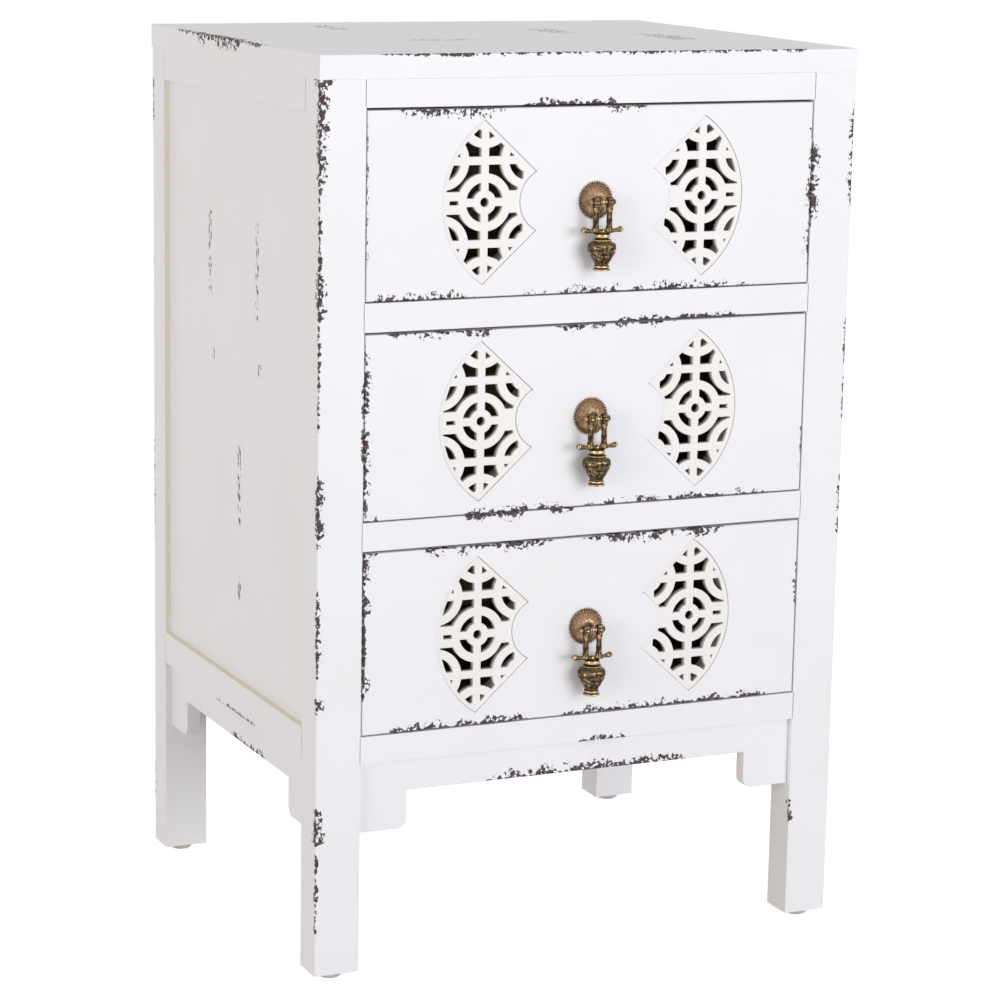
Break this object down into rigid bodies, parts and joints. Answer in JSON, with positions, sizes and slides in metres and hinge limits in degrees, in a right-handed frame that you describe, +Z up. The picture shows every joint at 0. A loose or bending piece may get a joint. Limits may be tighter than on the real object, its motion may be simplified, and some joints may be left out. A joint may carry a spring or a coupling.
{
  "type": "nightstand",
  "caption": "Small white-painted bedside cabinet with inset drawers, lattice inserts and hanging vase pulls, on straight legs with bracketed aprons.",
  "frame": {"origin": "on the floor, under the middle of the whole outline, which takes in the hanging pulls", "axes": "+X to the right seen from the front, -Y out of the drawer fronts, +Z up"},
  "size_m": [0.42, 0.378, 0.66],
  "materials": {
    "top_paint": "satin white paint, rubbed through at the edges",
    "frame_paint": "satin white paint, rubbed through at the edges",
    "panel_paint": "satin white paint",
    "front_paint": "satin white paint, rubbed through at the edges",
    "fret_paint": "satin off-white paint",
    "drawer_wood": "bare sanded wood",
    "ply": "bare plywood",
    "bronze": "antique bronze",
    "brass": "antique brass, dark in the recesses",
    "steel": "zinc-plated",
    "glide": "smooth off-white"
  },
  "bodies": {
    "carcass": {"top_panel": "top_paint", "front_left_post": "frame_paint", "front_right_post": "frame_paint", "rear_left_post": "frame_paint", "rear_right_post": "frame_paint", "top_front_rail": "frame_paint", "upper_divider_rail": "frame_paint", "lower_divider_rail": "frame_paint", "bottom_front_rail": "frame_paint", "top_rear_rail": "frame_paint", "bottom_rear_rail": "frame_paint", "left_top_rail": "frame_paint", "right_top_rail": "frame_paint", "left_bottom_rail": "frame_paint", "right_bottom_rail": "frame_paint", "left_side_panel": "panel_paint", "right_side_panel": "panel_paint", "back_panel": "ply", "bottom_panel": "ply", "front_apron": "frame_paint", "rear_apron": "frame_paint", "left_apron": "frame_paint", "right_apron": "frame_paint", "upper_runners": "drawer_wood", "middle_runners": "drawer_wood", "lower_runners": "drawer_wood", "foot_glides": "glide"},
    "upper_drawer": {"upper_drawer_front": "front_paint", "upper_left_fret": "fret_paint", "upper_right_fret": "fret_paint", "upper_drawer_left_side": "drawer_wood", "upper_drawer_right_side": "drawer_wood", "upper_drawer_back": "drawer_wood", "upper_drawer_bottom": "ply", "upper_rosette": "bronze", "upper_pull_eye": "brass", "upper_pull_nut": "steel"},
    "upper_pull": {"upper_pendant": "brass"},
    "middle_drawer": {"middle_drawer_front": "front_paint", "middle_left_fret": "fret_paint", "middle_right_fret": "fret_paint", "middle_drawer_left_side": "drawer_wood", "middle_drawer_right_side": "drawer_wood", "middle_drawer_back": "drawer_wood", "middle_drawer_bottom": "ply", "middle_rosette": "bronze", "middle_pull_eye": "brass", "middle_pull_nut": "steel"},
    "middle_pull": {"middle_pendant": "brass"},
    "lower_drawer": {"lower_drawer_front": "front_paint", "lower_left_fret": "fret_paint", "lower_right_fret": "fret_paint", "lower_drawer_left_side": "drawer_wood", "lower_drawer_right_side": "drawer_wood", "lower_drawer_back": "drawer_wood", "lower_drawer_bottom": "ply", "lower_rosette": "bronze", "lower_pull_eye": "brass", "lower_pull_nut": "steel"},
    "lower_pull": {"lower_pendant": "brass"}
  },
  "joints": [
    {"name": "upper_drawer_slide", "type": "slide", "parent": "carcass", "child": "upper_drawer", "axis": [0, -1, 0], "range_m": [0, 0.23]},
    {"name": "middle_drawer_slide", "type": "slide", "parent": "carcass", "child": "middle_drawer", "axis": [0, -1, 0], "range_m": [0, 0.23]},
    {"name": "lower_drawer_slide", "type": "slide", "parent": "carcass", "child": "lower_drawer", "axis": [0, -1, 0], "range_m": [0, 0.23]},
    {"name": "upper_pull_swing", "type": "hinge", "parent": "upper_drawer", "child": "upper_pull", "pos_m": [0, -0.1786, 0.55545], "axis": [-1, 0, 0], "range_deg": [0, 80]},
    {"name": "middle_pull_swing", "type": "hinge", "parent": "middle_drawer", "child": "middle_pull", "pos_m": [0, -0.1786, 0.40045], "axis": [-1, 0, 0], "range_deg": [0, 80]},
    {"name": "lower_pull_swing", "type": "hinge", "parent": "lower_drawer", "child": "lower_pull", "pos_m": [0, -0.1786, 0.24545], "axis": [-1, 0, 0], "range_deg": [0, 80]}
  ]
}
